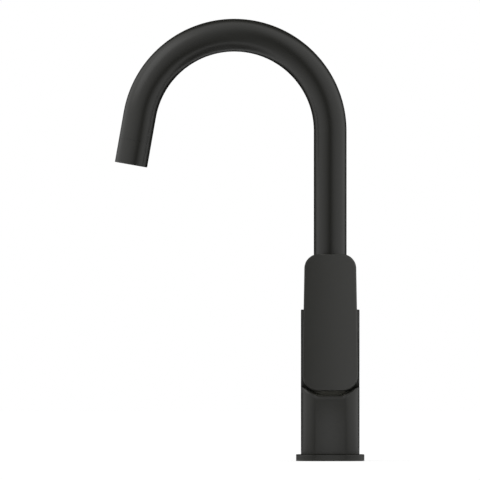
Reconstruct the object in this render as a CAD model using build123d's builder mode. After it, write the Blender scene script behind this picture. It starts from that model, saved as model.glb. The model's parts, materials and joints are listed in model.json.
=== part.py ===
from build123d import *
from math import asin, cos, degrees, hypot, radians, sin, sqrt, tan
import os

# Single-lever basin mixer with a high swivelling spout, in millimetres.
# The origin is the centre of the base on the deck and +Z is up. The spout reaches
# along -X, and the lever lies in the body's front, which faces -Y. A size named _y
# is a place along Y, one named _height a place along Z.

# Clearances
running_gap = 0.06     # radial gap of a part that turns or slides in another
seat_gap = 0.04        # radial gap of a part that is screwed or pushed home
lever_gap = 0.6        # gap between the lever's back and the body behind it
swing_gap = 1.0        # gap around the space that the lever swings through
end_play = 0.2         # gap between faces that slide past each other

# Body and base
body_width = 41.0
body_corner = 10.3
body_height = 106.0
body_edge = 0.5
flange_margin = 3.4
flange_thickness = 4.5
flange_edge = 0.4
gasket_margin = 2.4
gasket_width = 3.5
gasket_thickness = 1.6
spigot_margin = 2.0
stud_hole_radius = 3.4
stud_hole_depth = 14.0
inlet_thread_radius = 4.5
inlet_thread_depth = 11.0
inlet_spread = 9.5
inlet_y = 4.0

# Lever, which turns about an axis along Y and is lifted about the pivot pin
axis_drop = 33.0       # from the body's top down to the axis
pivot_depth = 13.5     # from the body's front back to the pivot pin
lift_angle = 20.0
turn_angle = 45.0
lever_thickness = 4.5
lever_drop = 23.8      # from the axis down to the lever's lower end
lever_rise = 71.9      # from the axis up to the lever's upper end
lever_inset = 0.8      # how far its sides lie inside the body's at the lower end
lever_taper = 3.4      # how much narrower it is at the upper end
lever_bottom_corner = 11.0
lever_top_corner = 10.0
lever_edge = 0.9
lever_back_edge = 0.5
hub_radius = 6.0
hub_length = 3.4

# Recess for the lever
ledge_drop = 3.6       # from the lever's lower end down to the ledge
ledge_inset = 1.2      # from the end of the front's flat part in to the ledge's bend
ledge_slope = 34.7
ledge_bend = 2.5
ledge_round = 2.0

# Cartridge. A reach here is measured along Y from the pivot pin.
chamber_reach = 18.5
cartridge_radius = 12.5
cartridge_base_thickness = 3.4
base_peg_radius = 1.2
base_peg_length = 1.5
base_peg_spread = 8.0
base_peg_drop = 5.0
housing_wall = 1.68
housing_front_thickness = 2.6
housing_neck_wall = 1.5
housing_neck_reach = 1.6
fixed_disc_thickness = 2.5
disc_key_width = 3.0
disc_key_depth = 1.0
moving_disc_radius = 7.8
moving_disc_thickness = 2.2
driver_radius = 8.2
driver_width = 14.0
driver_thickness = 2.2
driver_peg_radius = 0.8
driver_peg_length = 0.8
driver_peg_spread = 6.6
driver_slot_width = 4.4
carrier_flange_thickness = 2.8
carrier_neck_radius = 6.8
carrier_neck_reach = 2.4
rail_width = 2.4
stop_lug_width = 3.0
stop_lug_length = 1.0
stop_lug_height = 1.4
stop_lug_inset = 0.4
stop_play_angle = 0.5
nut_margin = 1.5
nut_front_reach = 2.5
nut_notch_width = 3.0
nut_notch_depth = 1.6
nut_notch_count = 6
mouth_margin = 0.4
stem_width = 6.0
stem_end_reach = 3.5
stem_grip = 1.6        # how far the stem goes into the lever's plate
arm_radius = 1.1
arm_ball_radius = 1.4
arm_ball_depth = 0.5   # how far the ball's centre lies inside the disc driver
pin_radius = 1.25
pin_recess = 0.3
inlet_port_spread = 5.6
inlet_port_rise = 3.9
inlet_port_radius = 1.8
outlet_port_drop = 3.0
outlet_port_radius = 2.2
disc_pocket_radius = 5.5
disc_pocket_drop = 0.45
disc_pocket_depth = 1.2
port_seal_wall = 0.9
port_seal_depth = 1.1

# Waterways in the body
channel_radius = 2.3
channel_wall = 1.5
gallery_foot_height = 22.0
water_space_depth = 5.0
water_space_margin = 2.5

# Spout and its seat in the body
tube_radius = 11.5
tube_wall = 1.5
riser_length = 125.1   # from the body's top up to the start of the bend
bend_radius = 67.2
bend_angle = 170.0
leg_length = 35.8      # from the end of the bend to the outlet
swivel_angle = 75.0
foot_margin = 1.5
foot_bore_radius = 7.5
foot_spigot_length = 12.0
foot_land = 0.7
foot_rim = 1.2
o_ring_groove_width = 2.0
o_ring_groove_depth = 1.6
o_ring_thickness = 1.5
screw_groove_width = 2.4
screw_groove_depth = 2.0
slide_ring_width = 2.5
slide_ring_thickness = 2.2
slide_ring_rise = 0.6  # how far it stands up out of the body
slide_ring_edge = 0.4

# Screws
spout_screw_radius = 2.0
spout_screw_tip_radius = 1.0
spout_screw_recess = 1.0
lever_screw_radius = 1.25
lever_screw_recess = 0.4
hex_recess_depth = 1.2
hex_recess_share = 0.5

# Outlet sleeve and aerator
sleeve_length = 17.0
sleeve_edge = 0.5
sleeve_spigot_length = 8.0
sleeve_bore_radius = 7.2
sleeve_seal_rise = 3.2
sleeve_seal_width = 1.8
sleeve_seal_depth = 1.2
aerator_radius = 9.6
aerator_seat_depth = 11.5
aerator_recess = 1.2
aerator_wall = 1.3
aerator_shoulder = 1.0
aerator_gasket_thickness = 1.2
regulator_thickness = 2.0
regulator_bore_radius = 2.6
screen_thickness = 0.8
screen_hole_radius = 0.5
screen_hole_pitch = 1.5
grid_thickness = 2.4
grid_hole_radius = 1.05
grid_hole_pitch = 2.6
hole_margin = 0.5

# Places and sizes that follow from those above, first the base
body_half = body_width / 2
outside = 2 * body_width
flange_width = body_width + 2 * flange_margin
gasket_outer_radius = flange_width / 2 - gasket_margin
gasket_inner_radius = gasket_outer_radius - gasket_width
base_spigot_radius = gasket_inner_radius - spigot_margin

# Lever
axis_height = body_height - axis_drop
pivot_y = pivot_depth - body_half
lift = radians(lift_angle)
lever_back_y = lever_thickness - body_half
front_plane_y = lever_back_y + lever_gap
hub_back_y = lever_back_y + hub_length
lever_bottom_height = axis_height - lever_drop
lever_top_height = axis_height + lever_rise
lever_bottom_width = body_width - 2 * lever_inset
lever_top_width = lever_bottom_width - lever_taper
ledge_height = lever_bottom_height - ledge_drop
ledge_half_width = body_half - body_corner - ledge_inset

# Cartridge, from the back of its chamber to the front
chamber_back_y = pivot_y + chamber_reach
base_front_y = chamber_back_y - cartridge_base_thickness
fixed_disc_front_y = base_front_y - fixed_disc_thickness
moving_disc_front_y = fixed_disc_front_y - moving_disc_thickness
driver_front_y = moving_disc_front_y - driver_thickness
carrier_back_y = driver_front_y - end_play
carrier_shoulder_y = carrier_back_y - carrier_flange_thickness
carrier_neck_y = pivot_y - carrier_neck_reach
housing_shoulder_y = carrier_shoulder_y - end_play
housing_front_y = housing_shoulder_y - housing_front_thickness
housing_neck_y = pivot_y - housing_neck_reach
nut_front_y = pivot_y - nut_front_reach
stem_end_y = pivot_y + stem_end_reach
stem_front_y = lever_back_y - stem_grip
arm_length = driver_front_y + arm_ball_depth - pivot_y
disc_rest_drop = arm_length * sin(lift) / 2
housing_bore_radius = cartridge_radius - housing_wall
housing_neck_bore_radius = carrier_neck_radius + running_gap
housing_neck_radius = housing_neck_bore_radius + housing_neck_wall
fixed_disc_radius = housing_bore_radius - 2 * running_gap
carrier_flange_radius = housing_bore_radius - 2 * running_gap
stop_lug_radius = carrier_flange_radius - stop_lug_inset - stop_lug_height / 2
nut_radius = cartridge_radius + nut_margin
mouth_radius = nut_radius + mouth_margin
pin_length = 2 * (carrier_neck_radius - pin_recess)

# The carrier's slot clears the stem and its arm when the lever is lifted
stem_swing = stem_width / 2 / cos(lift) + stem_end_reach * tan(lift)
arm_swing = arm_radius / cos(lift) + (carrier_back_y - pivot_y) * tan(lift)
carrier_slot_height = 2 * (max(stem_swing, arm_swing) + end_play)

# The lever's lower corners swing on a sphere about the pivot
corner_reach = hypot(
    lever_bottom_width / 2 - lever_bottom_corner,
    lever_drop - lever_bottom_corner,
)
swing_radius = hypot(corner_reach + lever_bottom_corner, pivot_depth) + swing_gap

# Spout, from the body's top down to the floor of its socket, and the waterways
bend_height = body_height + riser_length
slide_ring_height = body_height + slide_ring_rise - slide_ring_thickness
foot_top_height = slide_ring_height - end_play
screw_groove_height = foot_top_height - foot_rim - screw_groove_width
second_groove_height = screw_groove_height - foot_land - o_ring_groove_width
first_groove_height = second_groove_height - foot_land - o_ring_groove_width
foot_bottom_height = first_groove_height - foot_land
socket_floor_height = foot_bottom_height - water_space_depth
cross_gallery_height = (socket_floor_height + foot_bottom_height) / 2
channel_y = chamber_back_y + channel_wall + channel_radius
slide_ring_radius = tube_radius + slide_ring_width
socket_radius = tube_radius + foot_margin
water_space_radius = socket_radius - water_space_margin
foot_radius = socket_radius - running_gap
foot_spigot_radius = tube_radius - tube_wall - seat_gap
screw_height = screw_groove_height + screw_groove_width / 2
screw_seat_y = socket_radius + seat_gap
screw_tip_y = foot_radius - screw_groove_depth + end_play

# Outlet, as distances down the leg from the end of the bend
seam_distance = leg_length - sleeve_length
aerator_seat_distance = leg_length - aerator_seat_depth
aerator_top_distance = aerator_seat_distance + aerator_gasket_thickness
aerator_end_distance = leg_length - aerator_recess
aerator_bore_radius = aerator_radius - aerator_wall

os.makedirs("parts", exist_ok=True)


def save(piece, label):
    """Name a finished piece and write it to its own file."""
    piece.part.label = label
    export_step(piece.part, "parts/" + label + ".step")


def across(y, height=axis_height):
    """Upright plane at this place along Y, facing the front, with its x along +X
    and its y along +Z. Extruding on it goes towards the front."""
    return Plane(origin=(0, y, height), x_dir=(1, 0, 0), z_dir=(0, -1, 0))


def down_leg(distance):
    """Plane square to the spout's straight leg, this far past the end of the bend.
    Extruding on it goes towards the outlet."""
    turned = radians(bend_angle)
    x = bend_radius * (cos(turned) - 1) - distance * sin(turned)
    z = bend_height + bend_radius * sin(turned) + distance * cos(turned)
    return Plane(origin=(x, 0, z), x_dir=(0, 1, 0), z_dir=(-sin(turned), 0, cos(turned)))


def soft_square(width):
    """Square with round corners, an even offset of the body's own outline."""
    RectangleRounded(width, width, body_corner + (width - body_width) / 2)


def ring(outer_radius, inner_radius):
    """Flat ring."""
    Circle(outer_radius)
    Circle(inner_radius, mode=Mode.SUBTRACT)


def port_places():
    """Place and radius of the two inlet ports and the outlet port."""
    return [
        (-inlet_port_spread, inlet_port_rise, inlet_port_radius),
        (inlet_port_spread, inlet_port_rise, inlet_port_radius),
        (0, -outlet_port_drop, outlet_port_radius),
    ]


def hex_places(pitch, reach):
    """Points of a triangular pattern that lie within reach of its middle."""
    rows = int(reach / pitch) + 1
    points = []
    for row in range(-rows, rows + 1):
        for column in range(-2 * rows, 2 * rows + 1):
            x = (column + row / 2) * pitch
            y = row * pitch * sqrt(3) / 2
            if x * x + y * y <= reach * reach:
                points.append((x, y))
    return points


# Room for the lever's lower end. With the lever lifted, its back is a slope that
# meets the recess floor evenly at every turn: a cone below the axis, and a flat
# slope tangent to it on each side.
floor_slope = tan(lift)
floor_y = pivot_y + (lever_back_y - pivot_y) / cos(lift) + swing_gap


def floor_plane(side):
    """Plane through the cartridge axis whose x points down and to one side."""
    bearing = radians(side * turn_angle)
    pointing = (sin(bearing), 0, -cos(bearing))
    return Plane(origin=(0, 0, axis_height), x_dir=pointing, z_dir=(cos(bearing), 0, sin(bearing)))


def floor_profile():
    """Everything in front of the sloping floor."""
    with BuildLine() as outline:
        Polyline(
            (0, -outside),
            (outside, -outside),
            (outside, floor_y + floor_slope * outside),
            (0, floor_y),
            close=True,
        )
    make_face(outline.edges())


def ledge_outline():
    """Front view of the recess: level in the middle, rising to both sides."""
    side_x = body_width
    side_height = ledge_height + (side_x - ledge_half_width) * tan(radians(ledge_slope))
    with BuildLine() as outline:
        FilletPolyline(
            (-side_x, side_height),
            (-ledge_half_width, ledge_height),
            (ledge_half_width, ledge_height),
            (side_x, side_height),
            radius=ledge_bend,
        )
        Polyline(
            (side_x, side_height),
            (side_x, body_height + outside),
            (-side_x, body_height + outside),
            (-side_x, side_height),
        )
    make_face(outline.edges())


with BuildPart() as swing_floor:
    with BuildSketch(floor_plane(1)):
        floor_profile()
    revolve(axis=Axis((0, 0, axis_height), (0, 1, 0)), revolution_arc=2 * turn_angle)
    for side in (-1, 1):
        with BuildSketch(floor_plane(side)):
            floor_profile()
        extrude(amount=outside, both=True)

with BuildPart() as swing_space:
    with BuildSketch(across(chamber_back_y, 0)):
        ledge_outline()
    extrude(amount=outside)
    with Locations((0, pivot_y, axis_height)):
        Sphere(swing_radius)
    add(swing_floor.part, mode=Mode.INTERSECT)

# Body: one casting with the recess, the cartridge chamber, the spout socket and
# the waterways between them
with BuildPart() as body:
    with BuildSketch(Plane.XY.offset(flange_thickness)):
        soft_square(body_width)
    extrude(amount=body_height - flange_thickness)
    fillet(body.faces().sort_by(Axis.Z)[-1].edges(), body_edge)
    with BuildSketch():
        Circle(base_spigot_radius)
    extrude(amount=flange_thickness)

    # Recess
    with BuildSketch(across(front_plane_y, 0)):
        ledge_outline()
    extrude(amount=outside, mode=Mode.SUBTRACT)
    cut_edges = body.edges(Select.LAST).filter_by(Axis.Y, reverse=True)
    ledge_rim = cut_edges.filter_by(
        lambda edge: edge.center().Y < front_plane_y - seat_gap and edge.center().Z < axis_height
    )
    fillet(ledge_rim, ledge_round)
    add(swing_space.part, mode=Mode.SUBTRACT)
    with BuildSketch(across(nut_front_y)):
        Circle(mouth_radius)
    extrude(amount=outside, mode=Mode.SUBTRACT)

    # Cartridge chamber
    with BuildSketch(across(chamber_back_y)):
        Circle(cartridge_radius + seat_gap)
    extrude(amount=chamber_back_y - nut_front_y, mode=Mode.SUBTRACT)
    with BuildSketch(across(housing_front_y)):
        Circle(nut_radius + seat_gap)
    extrude(amount=housing_front_y - nut_front_y, mode=Mode.SUBTRACT)
    with BuildSketch(across(chamber_back_y + base_peg_length)):
        with Locations((-base_peg_spread, -base_peg_drop), (base_peg_spread, -base_peg_drop)):
            Circle(base_peg_radius + seat_gap)
    extrude(amount=base_peg_length, mode=Mode.SUBTRACT)

    # Spout socket
    with BuildSketch(Plane.XY.offset(socket_floor_height)):
        Circle(water_space_radius)
    extrude(amount=outside, mode=Mode.SUBTRACT)
    with BuildSketch(Plane.XY.offset(foot_bottom_height)):
        Circle(socket_radius)
    extrude(amount=outside, mode=Mode.SUBTRACT)
    with BuildSketch(Plane.XY.offset(slide_ring_height)):
        Circle(slide_ring_radius + seat_gap)
    extrude(amount=outside, mode=Mode.SUBTRACT)
    with BuildSketch(across(body_width, screw_height)):
        Circle(spout_screw_radius + seat_gap)
    extrude(amount=body_width - water_space_radius, mode=Mode.SUBTRACT)

    # Fastening stud and hose inlets in the underside
    with BuildSketch():
        Circle(stud_hole_radius)
    extrude(amount=stud_hole_depth, mode=Mode.SUBTRACT)
    for side in (-1, 1):
        with BuildSketch():
            with Locations((side * inlet_spread, inlet_y)):
                Circle(inlet_thread_radius)
        extrude(amount=inlet_thread_depth, mode=Mode.SUBTRACT)

    # Waterways
    for side in (-1, 1):
        inlet_end = Vector(side * inlet_spread, inlet_y, inlet_thread_depth - channel_radius / 2)
        channel_end = Vector(side * inlet_port_spread, channel_y, gallery_foot_height)
        slant = channel_end - inlet_end
        with BuildSketch(Plane(origin=inlet_end, z_dir=slant)):
            Circle(channel_radius)
        extrude(amount=slant.length, mode=Mode.SUBTRACT)
        with BuildSketch(Plane.XY.offset(gallery_foot_height - channel_radius)):
            with Locations((side * inlet_port_spread, channel_y)):
                Circle(channel_radius)
        extrude(
            amount=axis_height + inlet_port_rise - gallery_foot_height + 2 * channel_radius,
            mode=Mode.SUBTRACT,
        )
    with BuildSketch(Plane.XY.offset(axis_height - outlet_port_drop - channel_radius)):
        with Locations((0, channel_y)):
            Circle(channel_radius)
    extrude(
        amount=cross_gallery_height - axis_height + outlet_port_drop + 2 * channel_radius,
        mode=Mode.SUBTRACT,
    )
    with BuildSketch(across(channel_y, cross_gallery_height)):
        Circle(outlet_port_radius)
    extrude(amount=channel_y - foot_bore_radius, mode=Mode.SUBTRACT)
    for x, rise, radius in port_places():
        with BuildSketch(across(channel_y)):
            with Locations((x, rise)):
                Circle(radius)
        extrude(amount=channel_y - chamber_back_y, mode=Mode.SUBTRACT)
save(body, "body")

with BuildPart() as base_flange:
    with BuildSketch():
        soft_square(flange_width)
    extrude(amount=flange_thickness)
    fillet(base_flange.faces().sort_by(Axis.Z)[-1].edges(), flange_edge)
    with BuildSketch():
        Circle(base_spigot_radius + seat_gap)
    extrude(amount=flange_thickness, mode=Mode.SUBTRACT)
    with BuildSketch():
        ring(gasket_outer_radius, gasket_inner_radius)
    extrude(amount=gasket_thickness, mode=Mode.SUBTRACT)
save(base_flange, "base_flange")

with BuildPart() as base_gasket:
    with BuildSketch():
        ring(gasket_outer_radius, gasket_inner_radius)
    extrude(amount=gasket_thickness)
save(base_gasket, "base_gasket")


# Cartridge, from the back of its chamber to the front
with BuildPart() as cartridge_base:
    with BuildSketch(across(chamber_back_y)):
        Circle(cartridge_radius)
    extrude(amount=cartridge_base_thickness)
    with BuildSketch(across(chamber_back_y + base_peg_length)):
        with Locations((-base_peg_spread, -base_peg_drop), (base_peg_spread, -base_peg_drop)):
            Circle(base_peg_radius)
    extrude(amount=base_peg_length)
    for x, rise, radius in port_places():
        with BuildSketch(across(chamber_back_y)):
            with Locations((x, rise)):
                Circle(radius)
        extrude(amount=cartridge_base_thickness, mode=Mode.SUBTRACT)
        for seal_back_y in (chamber_back_y, base_front_y + port_seal_depth):
            with BuildSketch(across(seal_back_y)):
                with Locations((x, rise)):
                    Circle(radius + port_seal_wall)
            extrude(amount=port_seal_depth, mode=Mode.SUBTRACT)
save(cartridge_base, "cartridge_base")


def save_port_seals(seal_back_y, label):
    """One rubber ring around each port, flush with the face that it seals."""
    with BuildPart() as seals:
        for x, rise, radius in port_places():
            with BuildSketch(across(seal_back_y)):
                with Locations((x, rise)):
                    ring(radius + port_seal_wall, radius)
            extrude(amount=port_seal_depth)
    save(seals, label)


save_port_seals(chamber_back_y, "port_seals")
save_port_seals(base_front_y + port_seal_depth, "disc_seals")


def disc_keys(gap):
    """Outline of the two keys that keep the fixed disc from turning."""
    ring(cartridge_radius, fixed_disc_radius - disc_key_depth - gap)
    Rectangle(2 * cartridge_radius, disc_key_width + 2 * gap, mode=Mode.INTERSECT)


with BuildPart() as fixed_disc:
    with BuildSketch(across(base_front_y)):
        Circle(fixed_disc_radius)
    extrude(amount=fixed_disc_thickness)
    with BuildSketch(across(base_front_y)):
        disc_keys(seat_gap)
    extrude(amount=fixed_disc_thickness, mode=Mode.SUBTRACT)
    for x, rise, radius in port_places():
        with BuildSketch(across(base_front_y)):
            with Locations((x, rise)):
                Circle(radius)
        extrude(amount=fixed_disc_thickness, mode=Mode.SUBTRACT)
save(fixed_disc, "fixed_disc")

with BuildPart() as moving_disc:
    with BuildSketch(across(fixed_disc_front_y, axis_height - disc_rest_drop)):
        Circle(moving_disc_radius)
    extrude(amount=moving_disc_thickness)
    with BuildSketch(across(fixed_disc_front_y, axis_height - disc_rest_drop)):
        with Locations((0, -disc_pocket_drop)):
            Circle(disc_pocket_radius)
    extrude(amount=disc_pocket_depth, mode=Mode.SUBTRACT)
    with BuildSketch(
        across(moving_disc_front_y + driver_peg_length, axis_height - disc_rest_drop)
    ):
        with Locations((0, -driver_peg_spread), (0, driver_peg_spread)):
            Circle(driver_peg_radius + seat_gap)
    extrude(amount=driver_peg_length, mode=Mode.SUBTRACT)
save(moving_disc, "moving_disc")

with BuildPart() as disc_driver:
    with BuildSketch(across(moving_disc_front_y, axis_height - disc_rest_drop)):
        Circle(driver_radius)
        Rectangle(driver_width, 2 * driver_radius, mode=Mode.INTERSECT)
    extrude(amount=driver_thickness)
    with BuildSketch(across(moving_disc_front_y)):
        Rectangle(driver_slot_width, 2 * (arm_ball_radius + running_gap))
    extrude(amount=driver_thickness, mode=Mode.SUBTRACT)
    with BuildSketch(
        across(moving_disc_front_y + driver_peg_length, axis_height - disc_rest_drop)
    ):
        with Locations((0, -driver_peg_spread), (0, driver_peg_spread)):
            Circle(driver_peg_radius)
    extrude(amount=driver_peg_length)
save(disc_driver, "disc_driver")

rail_x = driver_width / 2 + running_gap + rail_width / 2
rail_length = driver_thickness - end_play

with BuildPart() as stem_carrier:
    with BuildSketch(across(carrier_back_y)):
        Circle(carrier_flange_radius)
    extrude(amount=carrier_flange_thickness)
    with BuildSketch(across(carrier_back_y)):
        Circle(carrier_neck_radius)
    extrude(amount=carrier_back_y - carrier_neck_y)
    # Rails that guide the disc driver
    with BuildSketch(across(carrier_back_y + rail_length)):
        Circle(carrier_flange_radius)
        with Locations((-rail_x, 0), (rail_x, 0)):
            Rectangle(rail_width, 2 * driver_radius, mode=Mode.INTERSECT)
    extrude(amount=rail_length)
    # Lug that stops the turn
    with BuildSketch(across(carrier_shoulder_y)):
        with Locations((0, stop_lug_radius)):
            Rectangle(stop_lug_width, stop_lug_height)
    extrude(amount=stop_lug_length)
    with BuildSketch(across(carrier_back_y)):
        Rectangle(stem_width + 2 * end_play, carrier_slot_height)
    extrude(amount=carrier_back_y - carrier_neck_y, mode=Mode.SUBTRACT)
    with BuildSketch(Plane.YZ):
        with Locations((pivot_y, axis_height)):
            Circle(pin_radius)
    extrude(amount=pin_length / 2, both=True, mode=Mode.SUBTRACT)
save(stem_carrier, "stem_carrier")

with BuildPart() as stem_pin:
    with BuildSketch(Plane.YZ):
        with Locations((pivot_y, axis_height)):
            Circle(pin_radius)
    extrude(amount=pin_length / 2, both=True)
save(stem_pin, "stem_pin")

lug_half_angle = degrees(
    asin(stop_lug_width / 2 / (stop_lug_radius - stop_lug_height / 2))
)
stop_arc = 2 * (turn_angle + lug_half_angle) + stop_play_angle
stop_start = radians(stop_arc / 2)

with BuildPart() as cartridge_housing:
    with BuildSketch(across(base_front_y)):
        ring(cartridge_radius, housing_bore_radius)
    extrude(amount=base_front_y - housing_shoulder_y)
    with BuildSketch(across(housing_shoulder_y)):
        ring(cartridge_radius, housing_neck_bore_radius)
    extrude(amount=housing_front_thickness)
    with BuildSketch(across(housing_front_y)):
        ring(housing_neck_radius, housing_neck_bore_radius)
    extrude(amount=housing_front_y - housing_neck_y)
    with BuildSketch(across(base_front_y)):
        disc_keys(0)
    extrude(amount=fixed_disc_thickness)
    # Curved slot that the carrier's lug runs in
    slot_start = (sin(stop_start), 0, cos(stop_start))
    slot_normal = (-cos(stop_start), 0, sin(stop_start))
    with BuildSketch(Plane(origin=(0, 0, axis_height), x_dir=slot_start, z_dir=slot_normal)):
        with Locations((stop_lug_radius, housing_shoulder_y - (stop_lug_length + end_play) / 2)):
            Rectangle(stop_lug_height + 2 * end_play, stop_lug_length + end_play)
    revolve(
        axis=Axis((0, 0, axis_height), (0, -1, 0)),
        revolution_arc=stop_arc,
        mode=Mode.SUBTRACT,
    )
save(cartridge_housing, "cartridge_housing")

with BuildPart() as cartridge_nut:
    with BuildSketch(across(housing_front_y)):
        ring(nut_radius, housing_neck_radius + 2 * running_gap)
    extrude(amount=housing_front_y - nut_front_y)
    with BuildSketch(across(nut_front_y + nut_notch_depth)):
        with PolarLocations(nut_radius, nut_notch_count):
            Rectangle(nut_radius - housing_neck_radius, nut_notch_width)
    extrude(amount=nut_notch_depth, mode=Mode.SUBTRACT)
save(cartridge_nut, "cartridge_nut")

with BuildPart() as stem:
    with BuildSketch(across(stem_end_y)):
        Rectangle(stem_width, stem_width)
    extrude(amount=stem_end_y - stem_front_y)
    with BuildSketch(across(pivot_y + arm_length)):
        Circle(arm_radius)
    extrude(amount=pivot_y + arm_length - stem_end_y)
    with Locations((0, pivot_y + arm_length, axis_height)):
        Sphere(arm_ball_radius)
    with BuildSketch(Plane.YZ):
        with Locations((pivot_y, axis_height)):
            Circle(pin_radius + running_gap)
    extrude(amount=stem_width, both=True, mode=Mode.SUBTRACT)
save(stem, "stem")


# Lever
def lever_outline():
    """Front view of the paddle, a little narrower at its top."""
    with BuildLine() as outline:
        Polyline(
            (-lever_bottom_width / 2, lever_bottom_height),
            (lever_bottom_width / 2, lever_bottom_height),
            (lever_top_width / 2, lever_top_height),
            (-lever_top_width / 2, lever_top_height),
            close=True,
        )
    make_face(outline.edges())


with BuildPart() as lever:
    with BuildSketch(across(lever_back_y, 0)) as paddle:
        lever_outline()
        fillet(paddle.vertices().group_by(Axis.Y)[0], lever_bottom_corner)
        fillet(paddle.vertices().group_by(Axis.Y)[-1], lever_top_corner)
    extrude(amount=lever_thickness)
    fillet(lever.faces().sort_by(Axis.Y)[0].edges(), lever_edge)
    fillet(lever.faces().sort_by(Axis.Y)[-1].edges(), lever_back_edge)
    with BuildSketch(across(hub_back_y)):
        Circle(hub_radius)
    extrude(amount=hub_length)
    fillet(lever.faces().sort_by(Axis.Y)[-1].edges(), lever_back_edge)
    with BuildSketch(across(hub_back_y)):
        Rectangle(stem_width + 2 * seat_gap, stem_width + 2 * seat_gap)
    extrude(amount=hub_back_y - stem_front_y + seat_gap, mode=Mode.SUBTRACT)
    with BuildSketch(Plane.XY.offset(axis_height)):
        with Locations((0, lever_back_y + hub_length / 2)):
            Circle(lever_screw_radius + seat_gap)
    extrude(amount=hub_radius, mode=Mode.SUBTRACT)
save(lever, "lever")

with BuildPart() as lever_screw:
    with BuildSketch(Plane.XY.offset(axis_height + stem_width / 2)):
        with Locations((0, lever_back_y + hub_length / 2)):
            Circle(lever_screw_radius)
    extrude(amount=hub_radius - stem_width / 2 - lever_screw_recess)
    with BuildSketch(Plane.XY.offset(axis_height + hub_radius - lever_screw_recess)):
        with Locations((0, lever_back_y + hub_length / 2)):
            RegularPolygon(lever_screw_radius * hex_recess_share, 6)
    extrude(amount=-hex_recess_depth, mode=Mode.SUBTRACT)
save(lever_screw, "lever_screw")


# Spout, from its foot in the body to the outlet
def leg_point(distance):
    """Place on the leg in the plane of the bend, past the end of the bend."""
    origin = down_leg(distance).origin
    return (origin.X, origin.Z)


with BuildPart() as spout_tube:
    with BuildLine(Plane.XZ) as route:
        Line((0, foot_top_height), (0, bend_height))
        CenterArc((-bend_radius, bend_height), bend_radius, 0, bend_angle)
        Line(leg_point(0), leg_point(seam_distance))
    with BuildSketch(Plane.XY.offset(foot_top_height)):
        ring(tube_radius, tube_radius - tube_wall)
    sweep(path=route.wires()[0])
save(spout_tube, "spout_tube")

groove_half_angle = degrees(asin(spout_screw_tip_radius / (foot_radius - screw_groove_depth)))
groove_arc = 2 * (swivel_angle + groove_half_angle) + stop_play_angle

with BuildPart() as spout_foot:
    with BuildSketch(Plane.XY.offset(foot_bottom_height)):
        Circle(foot_radius)
    extrude(amount=foot_top_height - foot_bottom_height)
    with BuildSketch(Plane.XY.offset(foot_top_height)):
        Circle(foot_spigot_radius)
    extrude(amount=foot_spigot_length)
    with BuildSketch(Plane.XY.offset(foot_bottom_height)):
        Circle(foot_bore_radius)
    extrude(amount=outside, mode=Mode.SUBTRACT)
    for groove_height in (first_groove_height, second_groove_height):
        with BuildSketch(Plane.XY.offset(groove_height)):
            ring(socket_radius, foot_radius - o_ring_groove_depth)
        extrude(amount=o_ring_groove_width, mode=Mode.SUBTRACT)
    # Part-round groove for the tip of the retaining screw, whose ends stop the swivel
    groove_start = radians(90 - groove_arc / 2)
    outward = (cos(groove_start), sin(groove_start), 0)
    groove_normal = (sin(groove_start), -cos(groove_start), 0)
    with BuildSketch(Plane(origin=(0, 0, screw_height), x_dir=outward, z_dir=groove_normal)):
        with Locations((foot_radius, 0)):
            Rectangle(2 * screw_groove_depth, screw_groove_width)
    revolve(axis=Axis.Z, revolution_arc=groove_arc, mode=Mode.SUBTRACT)
save(spout_foot, "spout_foot")

with BuildPart() as spout_seals:
    for groove_height in (first_groove_height, second_groove_height):
        with Locations((0, 0, groove_height + o_ring_groove_width / 2)):
            Torus(foot_radius - o_ring_groove_depth / 2, o_ring_thickness / 2)
save(spout_seals, "spout_seals")

with BuildPart() as slide_ring:
    with BuildSketch(Plane.XY.offset(slide_ring_height)):
        ring(slide_ring_radius, tube_radius + running_gap)
    extrude(amount=slide_ring_thickness)
    chamfer(slide_ring.faces().sort_by(Axis.Z)[-1].edges(), slide_ring_edge)
save(slide_ring, "slide_ring")

with BuildPart() as spout_screw:
    with BuildSketch(across(body_half - spout_screw_recess, screw_height)):
        Circle(spout_screw_radius)
    extrude(amount=body_half - spout_screw_recess - screw_seat_y)
    with BuildSketch(across(screw_seat_y, screw_height)):
        Circle(spout_screw_tip_radius)
    extrude(amount=screw_seat_y - screw_tip_y)
    with BuildSketch(across(body_half - spout_screw_recess, screw_height)):
        RegularPolygon(spout_screw_radius * hex_recess_share, 6)
    extrude(amount=hex_recess_depth, mode=Mode.SUBTRACT)
save(spout_screw, "spout_screw")

seal_groove_distance = seam_distance - sleeve_seal_rise - sleeve_seal_width
seal_groove_radius = foot_spigot_radius - sleeve_seal_depth

with BuildPart() as outlet_sleeve:
    with BuildSketch(down_leg(seam_distance)):
        Circle(tube_radius)
    extrude(amount=sleeve_length)
    fillet(outlet_sleeve.faces().sort_by(Axis.Z)[0].edges(), sleeve_edge)
    with BuildSketch(down_leg(seam_distance - sleeve_spigot_length)):
        Circle(foot_spigot_radius)
    extrude(amount=sleeve_spigot_length)
    with BuildSketch(down_leg(seam_distance - sleeve_spigot_length)):
        Circle(sleeve_bore_radius)
    extrude(amount=outside, mode=Mode.SUBTRACT)
    with BuildSketch(down_leg(aerator_seat_distance)):
        Circle(aerator_radius + seat_gap)
    extrude(amount=outside, mode=Mode.SUBTRACT)
    with BuildSketch(down_leg(seal_groove_distance)):
        ring(tube_radius, seal_groove_radius)
    extrude(amount=sleeve_seal_width, mode=Mode.SUBTRACT)
save(outlet_sleeve, "outlet_sleeve")

with BuildPart() as sleeve_seal:
    with BuildSketch(down_leg(seal_groove_distance)):
        ring(tube_radius - tube_wall, seal_groove_radius)
    extrude(amount=sleeve_seal_width)
save(sleeve_seal, "sleeve_seal")

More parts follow.
